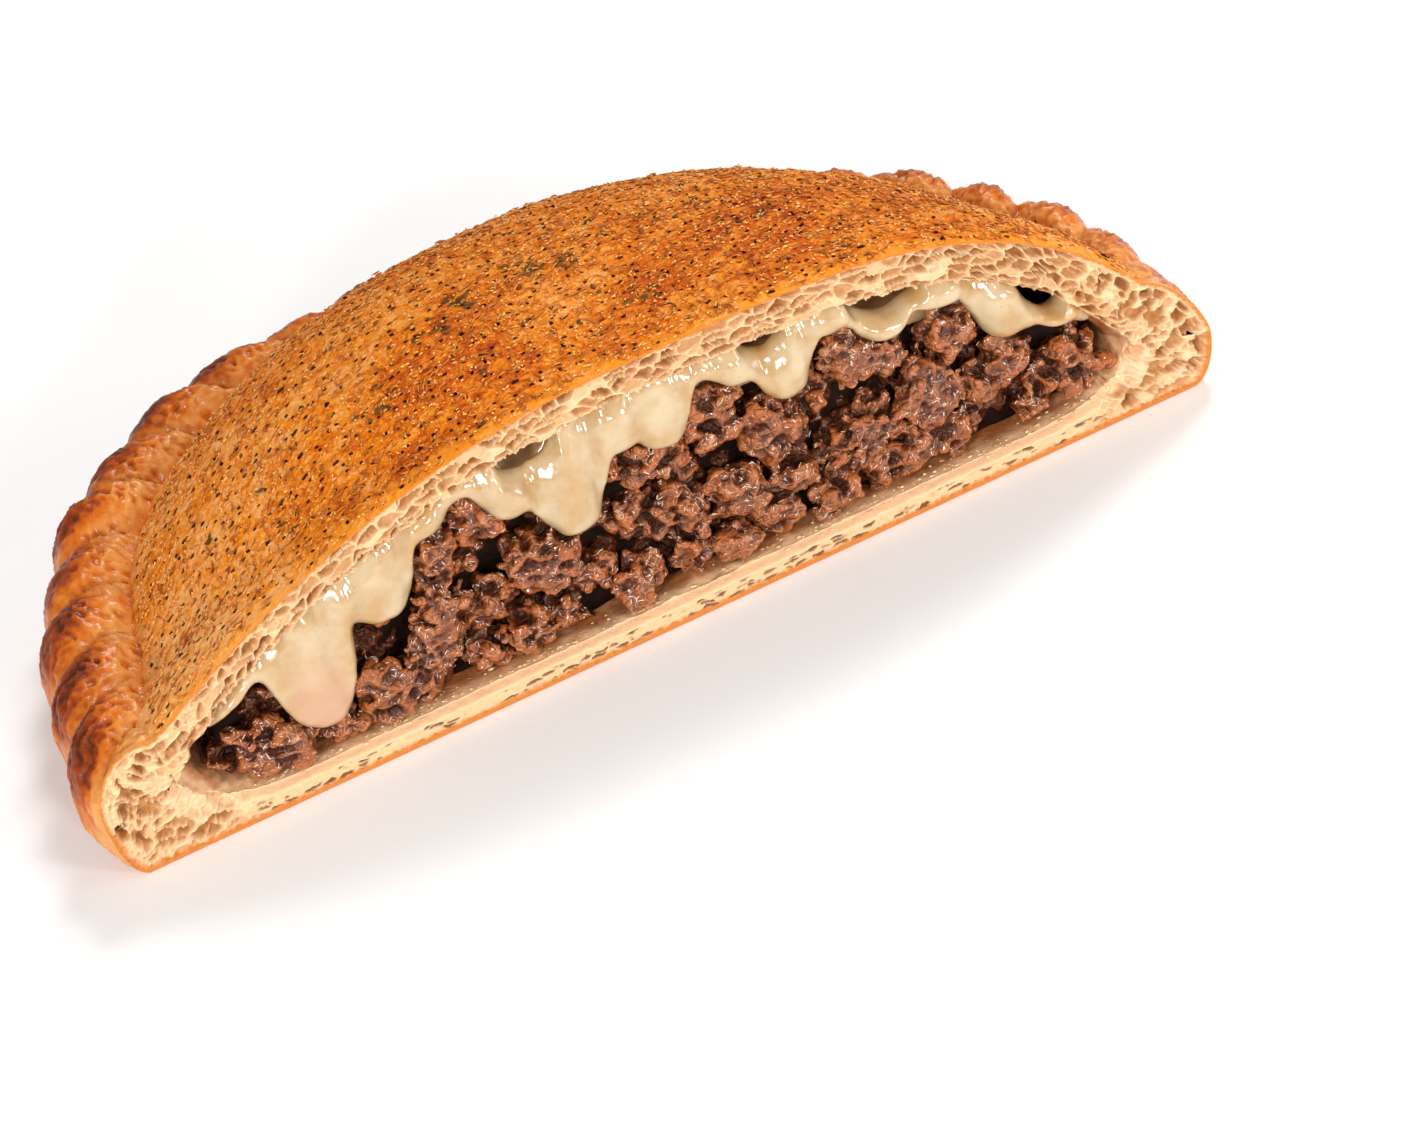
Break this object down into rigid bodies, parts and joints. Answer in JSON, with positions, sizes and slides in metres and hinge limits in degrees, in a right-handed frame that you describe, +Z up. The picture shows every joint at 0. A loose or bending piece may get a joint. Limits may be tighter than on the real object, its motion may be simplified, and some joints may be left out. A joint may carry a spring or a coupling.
{
  "type": "calzone",
  "caption": "Half of a large stuffed calzone, cut across: domed crust with a rope-crimped rim, melted cheese over chopped beef at the cut.",
  "frame": {"origin": "under the middle of the half's bounding box, on the surface it rests on", "axes": "+Z up from the base, -Y out of the flat cut face, +X to the right along the cut"},
  "size_m": [0.2544, 0.1336, 0.0661],
  "materials": {
    "crust": "baked golden-brown dough, glossy on the rim, cream open crumb at the cut",
    "cheese": "melted pale cheese, wet gloss",
    "steak": "browned chopped beef, wet with juice"
  },
  "bodies": {
    "root": {"crust": "crust", "cheese": "cheese", "steak": "steak"}
  },
  "joints": []
}
